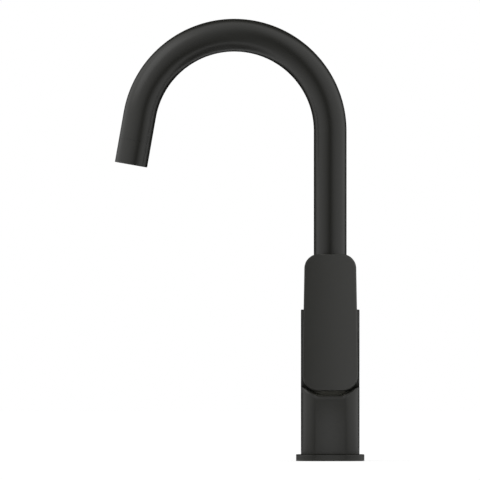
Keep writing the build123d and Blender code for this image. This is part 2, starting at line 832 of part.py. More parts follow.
with BuildPart() as aerator_gasket:
    with BuildSketch(down_leg(aerator_seat_distance)):
        ring(aerator_radius, sleeve_bore_radius)
    extrude(amount=aerator_gasket_thickness)
save(aerator_gasket, "aerator_gasket")

screen_distance = aerator_top_distance + regulator_thickness
shoulder_distance = screen_distance + screen_thickness
grid_distance = aerator_end_distance - grid_thickness

with BuildPart() as aerator_housing:
    with BuildSketch(down_leg(aerator_top_distance)):
        ring(aerator_radius, aerator_bore_radius - aerator_shoulder)
    extrude(amount=aerator_end_distance - aerator_top_distance)
    with BuildSketch(down_leg(aerator_top_distance)):
        Circle(aerator_bore_radius)
    extrude(amount=shoulder_distance - aerator_top_distance, mode=Mode.SUBTRACT)
    with BuildSketch(down_leg(grid_distance)):
        Circle(aerator_bore_radius)
    extrude(amount=grid_thickness, mode=Mode.SUBTRACT)
save(aerator_housing, "aerator_housing")

with BuildPart() as flow_regulator:
    with BuildSketch(down_leg(aerator_top_distance)):
        ring(aerator_bore_radius - seat_gap, regulator_bore_radius)
    extrude(amount=regulator_thickness)
save(flow_regulator, "flow_regulator")


def save_pierced_disc(distance, thickness, hole_radius, pitch, label):
    """A disc across the aerator, pierced all over with round holes."""
    reach = aerator_bore_radius - aerator_shoulder - hole_radius - hole_margin
    with BuildPart() as disc:
        with BuildSketch(down_leg(distance)):
            Circle(aerator_bore_radius - seat_gap)
            with Locations(hex_places(pitch, reach)):
                Circle(hole_radius, mode=Mode.SUBTRACT)
        extrude(amount=thickness)
    save(disc, label)


save_pierced_disc(
    screen_distance, screen_thickness, screen_hole_radius, screen_hole_pitch, "aerator_screen"
)
save_pierced_disc(
    grid_distance, grid_thickness, grid_hole_radius, grid_hole_pitch, "aerator_grid"
)
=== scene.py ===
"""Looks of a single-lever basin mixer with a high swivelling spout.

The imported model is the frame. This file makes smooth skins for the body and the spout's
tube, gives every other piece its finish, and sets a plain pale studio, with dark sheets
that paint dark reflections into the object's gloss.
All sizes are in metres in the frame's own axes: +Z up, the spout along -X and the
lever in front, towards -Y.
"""

import json
from math import pi, radians, sin, tan

import bmesh
import bpy
import numpy as np
from bpy.props import FloatProperty, FloatVectorProperty, IntProperty, PointerProperty
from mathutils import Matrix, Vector


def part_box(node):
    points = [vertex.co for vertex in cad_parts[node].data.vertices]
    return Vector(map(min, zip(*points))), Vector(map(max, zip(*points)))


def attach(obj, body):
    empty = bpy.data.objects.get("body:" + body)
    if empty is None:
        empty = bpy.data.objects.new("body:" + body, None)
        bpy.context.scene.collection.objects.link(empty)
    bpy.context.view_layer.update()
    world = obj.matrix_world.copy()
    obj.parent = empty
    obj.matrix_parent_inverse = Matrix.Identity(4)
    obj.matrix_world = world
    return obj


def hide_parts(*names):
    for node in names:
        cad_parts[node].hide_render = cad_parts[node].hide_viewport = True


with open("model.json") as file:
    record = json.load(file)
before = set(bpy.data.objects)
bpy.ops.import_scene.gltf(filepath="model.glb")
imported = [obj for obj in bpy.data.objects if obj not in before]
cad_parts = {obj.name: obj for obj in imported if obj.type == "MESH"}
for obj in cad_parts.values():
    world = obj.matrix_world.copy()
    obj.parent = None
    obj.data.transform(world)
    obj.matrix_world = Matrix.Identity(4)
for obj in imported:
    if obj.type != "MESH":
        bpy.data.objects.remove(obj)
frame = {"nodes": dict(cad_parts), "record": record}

bl_info = {
    "name": "Basin Mixer",
    "version": (1, 0, 0),
    "blender": (4, 5, 0),
    "location": "View3D > Sidebar > Mixer",
    "description": "Builds the skins, finishes and studio of a single-lever basin mixer",
    "category": "Object",
}

MM = 0.001
MERGE = 1e-6  # points closer than this become one
HALVINGS = 50  # steps of a search by halving, down to the last digit
SMOOTH_ANGLE = radians(30)  # where faces meet at more than this, the edge stays sharp

JOINTS = {joint["name"]: joint for joint in frame["record"]["behaviour"]["joints"]}
PIVOT = JOINTS["lever_turn"]["pos_m"]
LIFT = JOINTS["lever_lift"]["range_deg"][1]


# Sizes and colours that a user would change

def length(name, description, value):
    """A length setting in metres."""
    return FloatProperty(
        name=name, description=description, default=value, unit="LENGTH", precision=5
    )


def angle(name, description, degrees):
    """An angle setting."""
    return FloatProperty(
        name=name, description=description, default=radians(degrees), subtype="ANGLE"
    )


def share(name, description, value):
    """A setting from 0 to 1."""
    return FloatProperty(
        name=name, description=description, default=value, min=0, max=1, subtype="FACTOR"
    )


def level(name, description, value):
    """A brightness, where 1 is white."""
    return FloatProperty(name=name, description=description, default=value, min=0)


def colour(name, description, value):
    """A colour setting in linear values."""
    return FloatVectorProperty(
        name=name, description=description, default=value, min=0, max=1, size=3, subtype="COLOR"
    )


def count(name, description, value):
    """A number of faces."""
    return IntProperty(name=name, description=description, default=value, min=3)


class BodySettings(bpy.types.PropertyGroup):
    """Sizes of the body that its box in the frame doesn't give."""

    corner: length("Corner", "Radius of the upright corners", 10.3 * MM)
    top_edge: length("Top edge", "Rounding around the top", 0.5 * MM)
    foot_edge: length("Foot edge", "Rounding just above the flange", 0.45 * MM)
    spigot: length("Spigot", "Radius of the spigot inside the flange", 16.0 * MM)
    recess_depth: length("Recess depth", "From the front in to the recess", 5.1 * MM)
    ledge_height: length("Ledge height", "Height of the ledge's level middle", 46.1 * MM)
    ledge_half: length("Ledge half width", "From the middle to the ledge's bend", 8.6 * MM)
    ledge_slope: angle("Ledge slope", "How steeply the ledge rises outside its bends", 33.6)
    ledge_bend: length("Ledge bend", "Radius of the ledge's bends", 2.5 * MM)
    rim: length("Rim", "Rounding of the ledge's front edge", 2.8 * MM)
    rim_fade: angle("Rim fade", "How far round a corner the rim starts to fade", 35)
    swing: length("Swing", "Radius of the room for the lever's lower corners", 29.6 * MM)
    floor_start: length("Floor start", "Where the sloping floor meets the axis", -15.578 * MM)
    mouth: length("Mouth", "Radius of the cartridge's mouth", 14.4 * MM)
    seat: length("Seat", "Room around a piece that sits in the body", 0.04 * MM)
    socket_room: length("Socket room", "Room around the spout's foot", 0.06 * MM)
    well_step: length("Well step", "How much narrower the socket is under the foot", 2.5 * MM)
    well_depth: length("Well depth", "How far the socket goes on under the foot", 5 * MM)
    stud_radius: length("Stud hole", "Radius of the stud's hole", 3.4 * MM)
    stud_depth: length("Stud depth", "Depth of the stud's hole", 14 * MM)
    hose_radius: length("Hose holes", "Radius of the hoses' holes", 4.5 * MM)
    hose_depth: length("Hose depth", "Depth of the hoses' holes", 11 * MM)
    hose_side: length("Hose side", "From the middle sideways to a hose", 9.5 * MM)
    hose_back: length("Hose back", "From the middle back to the hoses", 4 * MM)
    front_columns: count("Front columns", "Faces across the recess", 120)
    back_columns: count("Back columns", "Faces around the rest", 140)
    edge_rows: count("Edge rows", "Rows of points on a rounded edge", 6)
    rim_rows: count("Rim rows", "Rows of points on the ledge's rim", 11)
    shelf_rows: count("Shelf rows", "Rows of points from front to back of the ledge", 16)
    lower_rows: count("Lower rows", "Rows of points up the wall under the ledge", 16)
    upper_rows: count("Upper rows", "Rows of points up the wall beside the recess", 48)
    bore_sides: count("Bore sides", "Faces around the socket and the chamber", 96)
    hole_sides: count("Hole sides", "Faces around the holes from below", 48)
    screw_sides: count("Screw sides", "Faces around the retaining screw's hole", 32)


class SpoutSettings(bpy.types.PropertyGroup):
    """Sizes of the spout that its box in the frame doesn't give."""

    bend_radius: length("Bend radius", "Radius of the bend at the tube's axis", 67.2 * MM)
    bend_angle: angle("Bend angle", "How far the tube turns", 170)
    wall: length("Wall", "Thickness of the tube's wall", 1.5 * MM)
    leg: length("Leg", "Straight tube from the bend to the seam", 18.8 * MM)
    edge: length("Edge", "Rounding of the tube's end at the seam", 0.12 * MM)
    edge_rows: count("Edge rows", "Rows of points on the tube's rounded end", 5)
    row_length: length("Row length", "Longest face along the tube", 2.4 * MM)
    sides: count("Sides", "Faces around the tube", 96)


class FinishSettings(bpy.types.PropertyGroup):
    """Colours and textures of the finishes."""

    coat: colour("Coat", "Matt black coating", (0.0174, 0.0174, 0.0146))
    coat_roughness: share("Coat roughness", "Roughness of the coating", 0.3)
    coat_grain: length("Coat grain", "Size of the coating's grain", 0.3 * MM)
    brass: colour("Brass", "Machined brass", (0.60, 0.42, 0.17))
    steel: colour("Steel", "Stainless steel", (0.56, 0.56, 0.57))
    ceramic: colour("Ceramic", "Polished ceramic discs", (0.76, 0.75, 0.71))
    grey_plastic: colour("Grey plastic", "Cartridge and aerator mouldings", (0.36, 0.37, 0.38))
    black_plastic: colour("Black plastic", "Slide ring and grid", (0.02, 0.02, 0.02))
    rubber: colour("Rubber", "Seals", (0.014, 0.014, 0.014))
    tool_pitch: length("Tool pitch", "Spacing of the marks on turned metal", 0.12 * MM)
    tool_depth: length("Tool depth", "Depth of the marks on turned metal", 0.003 * MM)
    gloss_roughness: share("Gloss roughness", "Roughness of the polish on ceramic", 0.08)


class StageSettings(bpy.types.PropertyGroup):
    """Light, floor and camera."""

    room: level("Room", "Brightness of the room on the object", 0.95)
    floor: level("Floor", "Reflectance of the floor for the object's shadow", 0.3)
    key: level("Key", "Brightness of the soft lamp above left", 0.9)
    lever_panel: level("Lever panel", "Brightness of the panel before the lever", 0.79)
    base_panel: level("Base panel", "Brightness of the panel before the base", 1.65)
    rim_panel: level("Rim panel", "Brightness of the panel before the ledge's rim", 0.5)
    gap_light: level("Gap light", "Brightness of the light under the lever", 4.2)
    distance: length("Distance", "From the camera to the object", 14.016)
    camera_side: length("Camera side", "Place of the camera along X", -63.2 * MM)
    camera_height: length("Camera height", "Height of the camera", 154.76 * MM)
    lens: FloatProperty(
        name="Lens", description="Focal length of the camera", default=1500, unit="CAMERA"
    )
    sensor: FloatProperty(
        name="Sensor", description="Width of the camera's film", default=36, unit="CAMERA"
    )


# Meshes

def grid_faces(rows, columns, closed_rows=False, closed_columns=True, first=0):
    """Quads of a grid of points, row by row, whose rows and columns may close."""
    row = np.arange(rows if closed_rows else rows - 1)[:, None]
    column = np.arange(columns if closed_columns else columns - 1)[None, :]
    next_row = (row + 1) % rows
    next_column = (column + 1) % columns
    corners = (
        row * columns + column,
        row * columns + next_column,
        next_row * columns + next_column,
        next_row * columns + column,
    )
    return np.stack(np.broadcast_arrays(*corners), axis=-1).reshape(-1, 4) + first


class Shell:
    """Patches of points that share their borders, gathered into one closed mesh."""

    def __init__(self):
        self.points, self.faces, self.total = [], [], 0

    def add(self, patch, closed_columns=False):
        """Add a grid of points. Returns the number of each of its points."""
        rows, columns = patch.shape[:2]
        numbers = self.total + np.arange(rows * columns).reshape(rows, columns)
        self.faces += grid_faces(rows, columns, False, closed_columns, self.total).tolist()
        self.points.append(patch.reshape(-1, 3))
        self.total += rows * columns
        return numbers

    def cap(self, loop):
        """Close a flat opening with one face."""
        self.faces.append([int(number) for number in loop])

    def mesh(self, name):
        """The mesh, with shared points merged and its faces pointing outwards."""
        mesh = new_mesh(name, np.concatenate(self.points), self.faces)
        work = bmesh.new()
        work.from_mesh(mesh)
        bmesh.ops.remove_doubles(work, verts=work.verts, dist=MERGE)
        bmesh.ops.dissolve_degenerate(work, edges=work.edges, dist=MERGE)
        bmesh.ops.recalc_face_normals(work, faces=work.faces)
        work.to_mesh(mesh)
        work.free()
        return mesh


def new_mesh(name, points, faces):
    """A mesh of points, in rows or one list, and faces of their numbers."""
    mesh = bpy.data.meshes.new(name)
    mesh.from_pydata(points.reshape(-1, 3), [], faces)
    return mesh


def new_object(name, data):
    """An object at the origin with this mesh, lamp or camera."""
    made = bpy.data.objects.new(name, data)
    bpy.context.scene.collection.objects.link(made)
    return made


def turned(profile, centre, axis, sides):
    """A solid of revolution: rings of radius r at height h above centre, for each (r, h)
    of the profile, closed by a flat face at each end."""
    profile = np.array(profile, float)
    turn = np.linspace(0, 2 * pi, sides, endpoint=False)
    points = np.empty((len(profile), sides, 3))
    across = [k for k in range(3) if k != axis]
    points[..., across[0]] = profile[:, 0, None] * np.cos(turn)
    points[..., across[1]] = profile[:, 0, None] * np.sin(turn)
    points[..., axis] = profile[:, 1, None]
    shell = Shell()
    numbers = shell.add(points + np.array(centre), closed_columns=True)
    shell.cap(numbers[0][::-1])
    shell.cap(numbers[-1])
    return shell.mesh("turned")


def cut(piece, cutters):
    """Take the cutters' solids out of the piece."""
    tools = [new_object("cutter", mesh) for mesh in cutters]
    for tool in tools:
        modifier = piece.modifiers.new("cut", "BOOLEAN")
        modifier.operation = "DIFFERENCE"
        modifier.solver = "EXACT"
        modifier.object = tool
    graph = bpy.context.evaluated_depsgraph_get()
    result = bpy.data.meshes.new_from_object(piece.evaluated_get(graph))
    if len(result.polygons) < len(piece.data.polygons) / 2:
        raise RuntimeError("the cut lost most of " + piece.name)
    piece.modifiers.clear()
    piece.data = result
    for tool in tools:
        bpy.data.objects.remove(tool)


def dress(piece, body, slot, replaced):
    """Give a finished piece its shading, finish and body, and hide the nodes it stands for."""
    mesh = piece.data
    mesh.shade_smooth()
    mesh.set_sharp_from_angle(angle=SMOOTH_ANGLE)
    mesh.materials.clear()
    mesh.materials.append(finish_for(slot))
    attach(piece, body)
    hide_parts(*replaced)


# Body

class BodyShape:
    """Outside of the body. A place round it is the distance from the middle of the
    front, towards +X and on round the back."""

    def __init__(self, settings):
        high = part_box("body")[1]
        self.half, self.top = high.x, high.z
        self.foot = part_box("base_flange")[1].z
        self.corner = settings.corner
        self.flat = self.half - self.corner
        self.side = 2 * self.flat + self.corner * pi / 2
        self.round = 4 * self.side
        self.plane = settings.recess_depth - self.half
        self.settings = settings

    def wall(self, place, inset=0.0):
        """Point of the outline and its outward direction. A side is a straight, then an
        arc of points (flat + r sin t, -flat - r cos t). Quarter turns give the others."""
        place = np.asarray(place, float)
        quarter = np.floor((place + self.flat) / self.side)
        rest = place + self.flat - quarter * self.side
        turn = np.clip((rest - 2 * self.flat) / self.corner, 0, pi / 2)
        radius = self.corner - inset
        x = np.minimum(rest, 2 * self.flat) - self.flat + radius * np.sin(turn)
        y = -self.flat - radius * np.cos(turn)
        across, along = np.cos(quarter * pi / 2), np.sin(quarter * pi / 2)
        out_x, out_y = np.sin(turn), -np.cos(turn)
        point = np.stack([x * across - y * along, x * along + y * across], -1)
        out = np.stack([out_x * across - out_y * along, out_x * along + out_y * across], -1)
        return point, out

    def ledge(self, x):
        """Height of the ledge: level, then an arc, then a straight slope."""
        sizes = self.settings
        bend, slope = sizes.ledge_bend, sizes.ledge_slope
        away = np.abs(x)
        start = sizes.ledge_half - bend * tan(slope / 2)
        run = np.clip(away - start, 0, bend * sin(slope))
        arc = bend - np.sqrt(bend**2 - run**2)
        sloping = away > start + bend * sin(slope)
        rise = np.where(sloping, (away - sizes.ledge_half) * tan(slope), arc)
        return sizes.ledge_height + rise

    def shelf(self, x, y):
        """Height of the ledge behind its rim, hollowed by the sphere about the pivot that
        the lever's lower corners swing in: pivot - sqrt(swing^2 - x^2 - (y - pivot)^2)."""
        inside = self.settings.swing**2 - x**2 - (y - PIVOT[1]) ** 2
        return np.minimum(self.ledge(x), PIVOT[2] - np.sqrt(np.maximum(inside, 0)))

    def floor(self, x, z):
        """Place along Y of the recess's back: a plane, and below the axis a cone that
        is start + reach * tan(lift), with flat slopes tangent to it from 45 degrees out."""
        down, away = PIVOT[2] - z, np.abs(x)
        reach = np.where(away < down, np.hypot(away, down), (away + down) / np.sqrt(2))
        return np.maximum(self.plane, self.settings.floor_start + reach * tan(radians(LIFT)))

    def recess_edge(self, height, inset=0.0):
        """Place round the body where the recess cuts the wall, found by halving the
        stretch from the front's middle to the side's middle. height is a function of X, Y."""
        low = np.zeros(np.shape(inset))
        high = np.full(np.shape(inset), self.side)
        for _ in range(HALVINGS):
            middle = (low + high) / 2
            point, _ = self.wall(middle, inset)
            x, y = point[..., 0], point[..., 1]
            cut_away = y < self.floor(x, height(x, y))
            low = np.where(cut_away, middle, low)
            high = np.where(cut_away, high, middle)
        return high

    def rim(self, place, steps):
        """Rounding between wall and ledge, as rows from the wall up to the ledge. A ball
        of radius r touches both: its centre is wall - r * out, the wall's direction turns
        evenly into the ledge's, and the points are centre + r * direction. The radius
        fades to nothing at both ends of the ledge."""
        sizes = self.settings
        end = place[-1]
        start = self.flat + self.corner * sizes.rim_fade
        fade = np.clip((np.abs(place) - start) / (end - start), 0, 1)
        size = sizes.rim * (1 - fade * fade * (3 - 2 * fade))
        point, out = self.wall(place)
        centre = point - size[:, None] * out
        bend_start = sizes.ledge_half - sizes.ledge_bend * tan(sizes.ledge_slope / 2)
        lean = (np.abs(centre[:, 0]) - bend_start) / (sizes.ledge_bend + size)
        lean = np.arcsin(np.clip(lean, 0, sin(sizes.ledge_slope)))
        up = np.stack([-np.sign(centre[:, 0]) * np.sin(lean), 0 * lean, np.cos(lean)], -1)
        out = np.concatenate([out, 0 * out[:, :1]], -1)
        height = self.ledge(centre[:, 0] + size * up[:, 0]) - size * up[:, 2]
        centre = np.concatenate([centre, height[:, None]], -1)
        between = np.arccos(np.sum(out * up, -1))[:, None]
        part = np.linspace(0, 1, steps)[:, None, None]
        facing = np.sin((1 - part) * between) * out + np.sin(part * between) * up
        facing /= np.sin(between)
        points = centre + size[:, None] * facing
        points[..., 2] = np.minimum(points[..., 2], self.shelf(points[..., 0], points[..., 1]))
        return points

    def ledge_rows(self, front, steps):
        """Rows of the ledge from these front points straight back to the recess's back,
        whose place is found by halving. No point is higher than its front point."""
        x, low, high = front[:, 0], front[:, 1], np.full(len(front), self.half)
        for _ in range(HALVINGS):
            middle = (low + high) / 2
            before = middle < self.floor(x, np.minimum(self.shelf(x, middle), front[:, 2]))
            low = np.where(before, middle, low)
            high = np.where(before, high, middle)
        y = front[:, 1] + np.linspace(0, 1, steps)[:, None] * (high - front[:, 1])
        z = np.minimum(self.shelf(x, y), front[:, 2])
        return np.stack([np.broadcast_to(x, y.shape), y, z], -1)


def body_mesh(settings):
    """The body's shell in five patches that share their borders: the foot and lower wall,
    the rim, the ledge, the recess's back and the upper wall."""
    shape = BodyShape(settings)
    end = float(shape.recess_edge(shape.shelf))
    front = np.linspace(-end, end, settings.front_columns + 1)
    back = np.linspace(0, 1, settings.back_columns + 1)
    rim = shape.rim(front, settings.rim_rows)
    side_height = rim[0, -1, 2]

    # Lower wall, over the spigot and the rounded foot
    ring = np.concatenate([front, end + back[1:-1] * (shape.round - 2 * end)])
    brim = np.concatenate([rim[0, :, 2], np.full(len(back) - 2, side_height)])
    turn = np.linspace(0, pi / 2, settings.edge_rows)
    edge = settings.foot_edge
    rise = np.linspace(0, 1, settings.lower_rows)[1:]
    insets = np.concatenate([edge * (1 - np.sin(turn)), 0 * rise])
    wall, _ = shape.wall(ring[None], insets[:, None])
    foot = shape.foot + edge * (1 - np.cos(turn))[:, None]
    foot = np.broadcast_to(foot, (len(turn), len(ring)))
    upward = shape.foot + edge + rise[:, None] * (brim - shape.foot - edge)
    wall = np.concatenate([wall, np.concatenate([foot, upward])[..., None]], -1)
    away = np.linalg.norm(wall[0, :, :2], axis=-1)[:, None]
    spigot = wall[[0, 0], :, :2] / away * settings.spigot
    spigot = np.concatenate([spigot, np.full((2, len(ring), 1), [[[0]], [[shape.foot]]])], -1)
    shell = Shell()
    numbers = shell.add(np.concatenate([spigot, wall]), closed_columns=True)
    shell.cap(numbers[0][::-1])

    # Upper wall and its rounded top, from one side of the recess round to the other
    turn = np.linspace(0, pi / 2, settings.edge_rows)[1:]
    edge = settings.top_edge
    heights = np.linspace(side_height, shape.top - edge, settings.upper_rows)
    insets = np.concatenate([0 * heights, edge * (1 - np.cos(turn))])
    heights = np.concatenate([heights, shape.top - edge * (1 - np.sin(turn))])
    edges = shape.recess_edge(lambda x, y: heights, insets)
    places = edges[:, None] + back * (shape.round - 2 * edges[:, None])
    wall, _ = shape.wall(places, insets[:, None])
    level_rows = np.broadcast_to(heights[:, None, None], (*wall.shape[:2], 1))
    wall = np.concatenate([wall, level_rows], -1)
    upper = shell.add(wall)

    # Rim, ledge and the recess's back
    shell.add(rim)
    ledge = shape.ledge_rows(rim[-1], settings.shelf_rows)
    shell.add(ledge)
    x = ledge[-1, :, 0] * wall[:, 0, 0][:, None] / wall[0, 0, 0]
    rise = (heights - side_height) / (shape.top - side_height)
    z = ledge[-1, :, 2] + rise[:, None] * (shape.top - ledge[-1, :, 2])
    recess = np.stack([x, shape.floor(x, z), z], -1)
    behind = shell.add(recess)
    shell.cap(np.concatenate([upper[-1], behind[-1][1:-1]]))
    return shell.mesh("body_skin")


def body_cutters(settings):
    """The spout's socket, the cartridge's chamber, and the holes for the stud, the
    hoses and the retaining screw."""
    seat = settings.seat
    past = 2 * MM  # how far a cutter reaches past the surface
    ring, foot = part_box("slide_ring"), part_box("spout_foot")
    base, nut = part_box("cartridge_base"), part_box("cartridge_nut")
    screw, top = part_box("spout_screw"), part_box("body")[1]
    socket = foot[1].x + settings.socket_room
    well = socket - settings.well_step
    yield turned([
        (well, foot[0].z - settings.well_depth), (well, foot[0].z),
        (socket, foot[0].z), (socket, ring[0].z),
        (ring[1].x + seat, ring[0].z), (ring[1].x + seat, top.z + past),
    ], (0, 0, 0), 2, settings.bore_sides)
    chamber, thread = base[1].x + seat, nut[1].x + seat
    yield turned([
        (chamber, base[1].y), (chamber, nut[1].y), (thread, nut[1].y), (thread, nut[0].y),
        (settings.mouth, nut[0].y), (settings.mouth, -top.x - past),
    ], (0, 0, PIVOT[2]), 1, settings.bore_sides)
    stud = [(settings.stud_radius, -past), (settings.stud_radius, settings.stud_depth)]
    yield turned(stud, (0, 0, 0), 2, settings.hole_sides)
    hose = [(settings.hose_radius, -past), (settings.hose_radius, settings.hose_depth)]
    for side in (-settings.hose_side, settings.hose_side):
        yield turned(hose, (side, settings.hose_back, 0), 2, settings.hole_sides)
    hole = (screw[1].x - screw[0].x) / 2 + seat
    middle = (screw[0].z + screw[1].z) / 2
    way_in = [(hole, socket - past), (hole, top.y + past)]
    yield turned(way_in, (0, 0, middle), 1, settings.screw_sides)


# Spout

def rounded(corners, radii, steps):
    """A closed outline whose corners are arcs. Each arc touches both sides of its
    corner: its points are centre + radius * (cos a, sin a), swept from side to side."""
    corners = np.array(corners, float)
    points = []
    for corner, before, after, size in zip(
        corners, np.roll(corners, 1, 0), np.roll(corners, -1, 0), radii
    ):
        if size == 0:
            points.append(corner[None])
            continue
        back = (before - corner) / np.linalg.norm(before - corner)
        on = (after - corner) / np.linalg.norm(after - corner)
        half = np.arccos(np.clip(back @ on, -1, 1)) / 2
        middle = (back + on) / np.linalg.norm(back + on)
        centre = corner + middle * size / np.sin(half)
        turn = pi / 2 - half
        across = on - middle * (on @ middle)
        across /= np.linalg.norm(across)
        sweep = np.linspace(-turn, turn, steps)[:, None]
        points.append(centre + size * (across * np.sin(sweep) - middle * np.cos(sweep)))
    return np.concatenate(points)


def split_long(profile, longest):
    """The closed profile with its long straight sides split evenly."""
    parts = []
    for start, end in zip(profile, np.roll(profile, -1, 0)):
        pieces = max(1, int(np.ceil(np.linalg.norm(end - start) / longest)))
        parts.append(start + (end - start) * np.arange(pieces)[:, None] / pieces)
    return np.concatenate(parts)


class SpoutRoute:
    """The tube's axis: up from the body, round the bend and down the leg."""

    def __init__(self, settings):
        low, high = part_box("spout_tube")
        self.radius = high.y
        self.foot = low.z
        self.bend = settings.bend_radius
        self.angle = settings.bend_angle
        self.bend_height = high.z - self.bend - self.radius
        self.riser = self.bend_height - self.foot
        self.arc = self.bend * self.angle

    def frames(self, distance):
        """Centre and side direction of the tube's section at these distances along it.
        Each section is also square to Y. On the bend the section turns by
        distance / bend radius about the bend's centre; elsewhere it goes straight."""
        distance = np.asarray(distance, float)
        turned_by = np.clip((distance - self.riser) / self.bend, 0, self.angle)
        before = np.minimum(distance - self.riser, 0)
        after = np.maximum(distance - self.riser - self.arc, 0)
        side = np.stack([np.cos(turned_by), np.zeros_like(turned_by), np.sin(turned_by)], -1)
        along = np.stack([-np.sin(turned_by), np.zeros_like(turned_by), np.cos(turned_by)], -1)
        centre = self.bend * side + (before + after)[:, None] * along
        centre += np.array([-self.bend, 0, self.bend_height])
        return centre, side

    def sweep(self, profile, sides):
        """Rings around the axis: each row of profile is a distance along it and a
        radius, and a ring's points are centre + radius * (side cos a + Y sin a)."""
        centre, side = self.frames(profile[:, 0])
        turn = np.linspace(0, 2 * pi, sides, endpoint=False)
        ring = side[:, None] * np.cos(turn)[None, :, None]
        ring += np.array([0, 1, 0]) * np.sin(turn)[None, :, None]
        return centre[:, None] + ring * profile[:, 1][:, None, None]


# Finishes

def place_node(tree, kind, **values):
    """Add a node and set its properties, and its inputs by name."""
    made = tree.nodes.new(kind)
    for key, value in values.items():
        if hasattr(made, key):
            setattr(made, key, value)
        else:
            made.inputs[key].default_value = value
    return made


def maths(tree, operation, *values):
    """A Math node on numbers or sockets."""
    made = place_node(tree, "ShaderNodeMath", operation=operation)
    for place, value in enumerate(values):
        if isinstance(value, (int, float)):
            made.inputs[place].default_value = value
        else:
            tree.links.new(value, made.inputs[place])
    return made.outputs[0]


def distance_out(tree, x, y):
    """Distance from the Z axis: the root of x * x + y * y."""
    squares = maths(tree, "ADD", maths(tree, "MULTIPLY", x, x), maths(tree, "MULTIPLY", y, y))
    return maths(tree, "SQRT", squares)


def ramp(tree, value, low, high, start, end, interpolation="SMOOTHSTEP"):
    """Map a socket from low..high to start..end, held at both ends."""
    made = place_node(tree, "ShaderNodeMapRange", interpolation_type=interpolation)
    tree.links.new(value, made.inputs["Value"])
    for key, number in zip(("From Min", "From Max", "To Min", "To Max"), (low, high, start, end)):
        made.inputs[key].default_value = number
    return made.outputs["Result"]


def new_group(name, inputs, outputs):
    """A shader node group with these named sockets, and its two end nodes."""
    tree = bpy.data.node_groups.new(name, "ShaderNodeTree")
    for way, sockets in (("INPUT", inputs), ("OUTPUT", outputs)):
        for label, kind in sockets.items():
            tree.interface.new_socket(name=label, in_out=way, socket_type="NodeSocket" + kind)
    return tree, tree.nodes.new("NodeGroupInput"), tree.nodes.new("NodeGroupOutput")


def noise(tree, vector, scale, detail):
    """A Noise texture of this scale, a number or a socket."""
    made = place_node(tree, "ShaderNodeTexNoise", Detail=detail, Roughness=0.5)
    tree.links.new(vector, made.inputs["Vector"])
    if isinstance(scale, (int, float)):
        made.inputs["Scale"].default_value = scale
    else:
        tree.links.new(scale, made.inputs["Scale"])
    return made.outputs["Fac"]


def finish_group(name, extra):
    """An empty group that turns a vector, a colour, a roughness and the extra numbers
    into a colour, a roughness and a height. Returns its tree, sockets and output node."""
    shared = {"Colour": "Color", "Roughness": "Float"}
    inputs = {"Vector": "Vector", **shared, **{label: "Float" for label in extra}}
    tree, start, end = new_group(name, inputs, {**shared, "Height": "Float"})
    return tree, start.outputs[:len(inputs)], end


def drift_out(tree, end, base, rough, sway, tint_part, rough_part):
    """Give out the colour and the roughness, each times 1 + its part of the sway."""
    tint_scale, rough_scale = (
        maths(tree, "ADD", 1.0, maths(tree, "MULTIPLY", sway, part))
        for part in (tint_part, rough_part)
    )
    tint = place_node(tree, "ShaderNodeVectorMath", operation="SCALE")
    tree.links.new(base, tint.inputs[0])
    tree.links.new(tint_scale, tint.inputs["Scale"])
    tree.links.new(tint.outputs[0], end.inputs["Colour"])
    tree.links.new(maths(tree, "MULTIPLY", rough, rough_scale), end.inputs["Roughness"])


def centred_noise(tree, vector, scale, detail, strength):
    """(noise - 0.5) * strength, a number or a socket."""
    broad = maths(tree, "SUBTRACT", noise(tree, vector, scale, detail), 0.5)
    return maths(tree, "MULTIPLY", broad, strength)


def grain_group():
    """Grain of a coated, moulded or cast surface. The colour and the roughness drift
    slowly with a broad noise. The height is a fine noise plus a coarse one."""
    found = bpy.data.node_groups.get("surface_grain")
    if found:
        return found
    tree, sockets, end = finish_group("surface_grain", ("Size", "Drift"))
    vector, base, rough, size, drift = sockets
    coarser, fine_share, drift_scale = 5.0, 0.6, 45.0
    fine_scale = maths(tree, "DIVIDE", 1.0, size)
    fine = noise(tree, vector, fine_scale, detail=3.0)
    coarse = noise(tree, vector, maths(tree, "DIVIDE", fine_scale, coarser), detail=1.0)
    fine = maths(tree, "MULTIPLY", fine, fine_share)
    coarse = maths(tree, "MULTIPLY", coarse, 1 - fine_share)
    tree.links.new(maths(tree, "ADD", fine, coarse), end.inputs["Height"])
    sway = centred_noise(tree, vector, drift_scale, 2.0, drift)
    drift_out(tree, end, base, rough, sway, tint_part=1.0, rough_part=0.5)
    return tree


def tooling_group():
    """Marks of a cutting tool on turned metal. The height is fine rings about the
    vector's Z, the sine of 2 pi (distance from Z + height) / pitch, put out of step and
    made uneven by a noise. The colour and the roughness drift with a broad noise."""
    found = bpy.data.node_groups.get("tool_marks")
    if found:
        return found
    tree, sockets, end = finish_group("tool_marks", ("Pitch",))
    vector, base, rough, pitch = sockets
    uneven_scale, out_of_step, drift_scale, drift = 900.0, 5.0, 120.0, 0.35
    split = tree.nodes.new("ShaderNodeSeparateXYZ")
    tree.links.new(vector, split.inputs[0])
    x, y, z = split.outputs
    reach = maths(tree, "ADD", distance_out(tree, x, y), z)
    phase = maths(tree, "MULTIPLY", maths(tree, "DIVIDE", reach, pitch), 2 * pi)
    uneven = noise(tree, vector, uneven_scale, detail=2.0)
    phase = maths(tree, "ADD", phase, maths(tree, "MULTIPLY", uneven, out_of_step))
    depth = maths(tree, "ADD", uneven, 0.5)
    rings = maths(tree, "MULTIPLY", maths(tree, "SINE", phase), depth)
    tree.links.new(rings, end.inputs["Height"])
    sway = centred_noise(tree, vector, drift_scale, 3.0, drift)
    drift_out(tree, end, base, rough, sway, tint_part=0.5, rough_part=1.0)
    return tree


